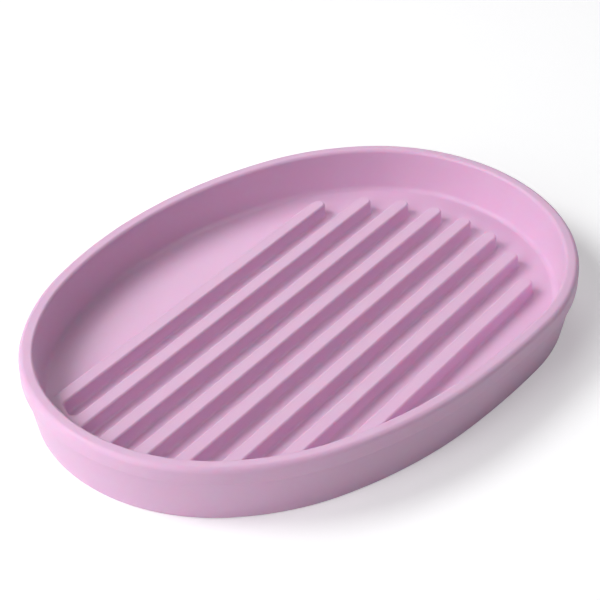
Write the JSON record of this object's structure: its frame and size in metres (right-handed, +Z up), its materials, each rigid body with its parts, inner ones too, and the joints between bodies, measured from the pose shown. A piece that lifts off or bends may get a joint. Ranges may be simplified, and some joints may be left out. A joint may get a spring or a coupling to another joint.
{
  "type": "soap saver pad",
  "caption": "Shallow oval silicone dish with a thick rounded rim and straight parallel ribs that hold a bar of soap above the floor so that it drains and dries.",
  "frame": {"origin": "centre of the oval outline on the plane that the dish stands on", "axes": "+X along the long axis, towards the free ends of the ribs; +Y across, towards the open strip of floor; +Z up"},
  "size_m": [0.132, 0.0943, 0.014],
  "materials": {
    "silicone": "satin moulded silicone, slightly translucent, lilac pink"
  },
  "bodies": {
    "root": {"dish_floor": "silicone", "side_wall": "silicone", "rim_lip": "silicone", "foot_ring": "silicone", "rib_ledge": "silicone", "rib_1": "silicone", "rib_2": "silicone", "rib_3": "silicone", "rib_4": "silicone", "rib_5": "silicone", "rib_6": "silicone", "rib_7": "silicone", "rib_8": "silicone"}
  },
  "joints": []
}
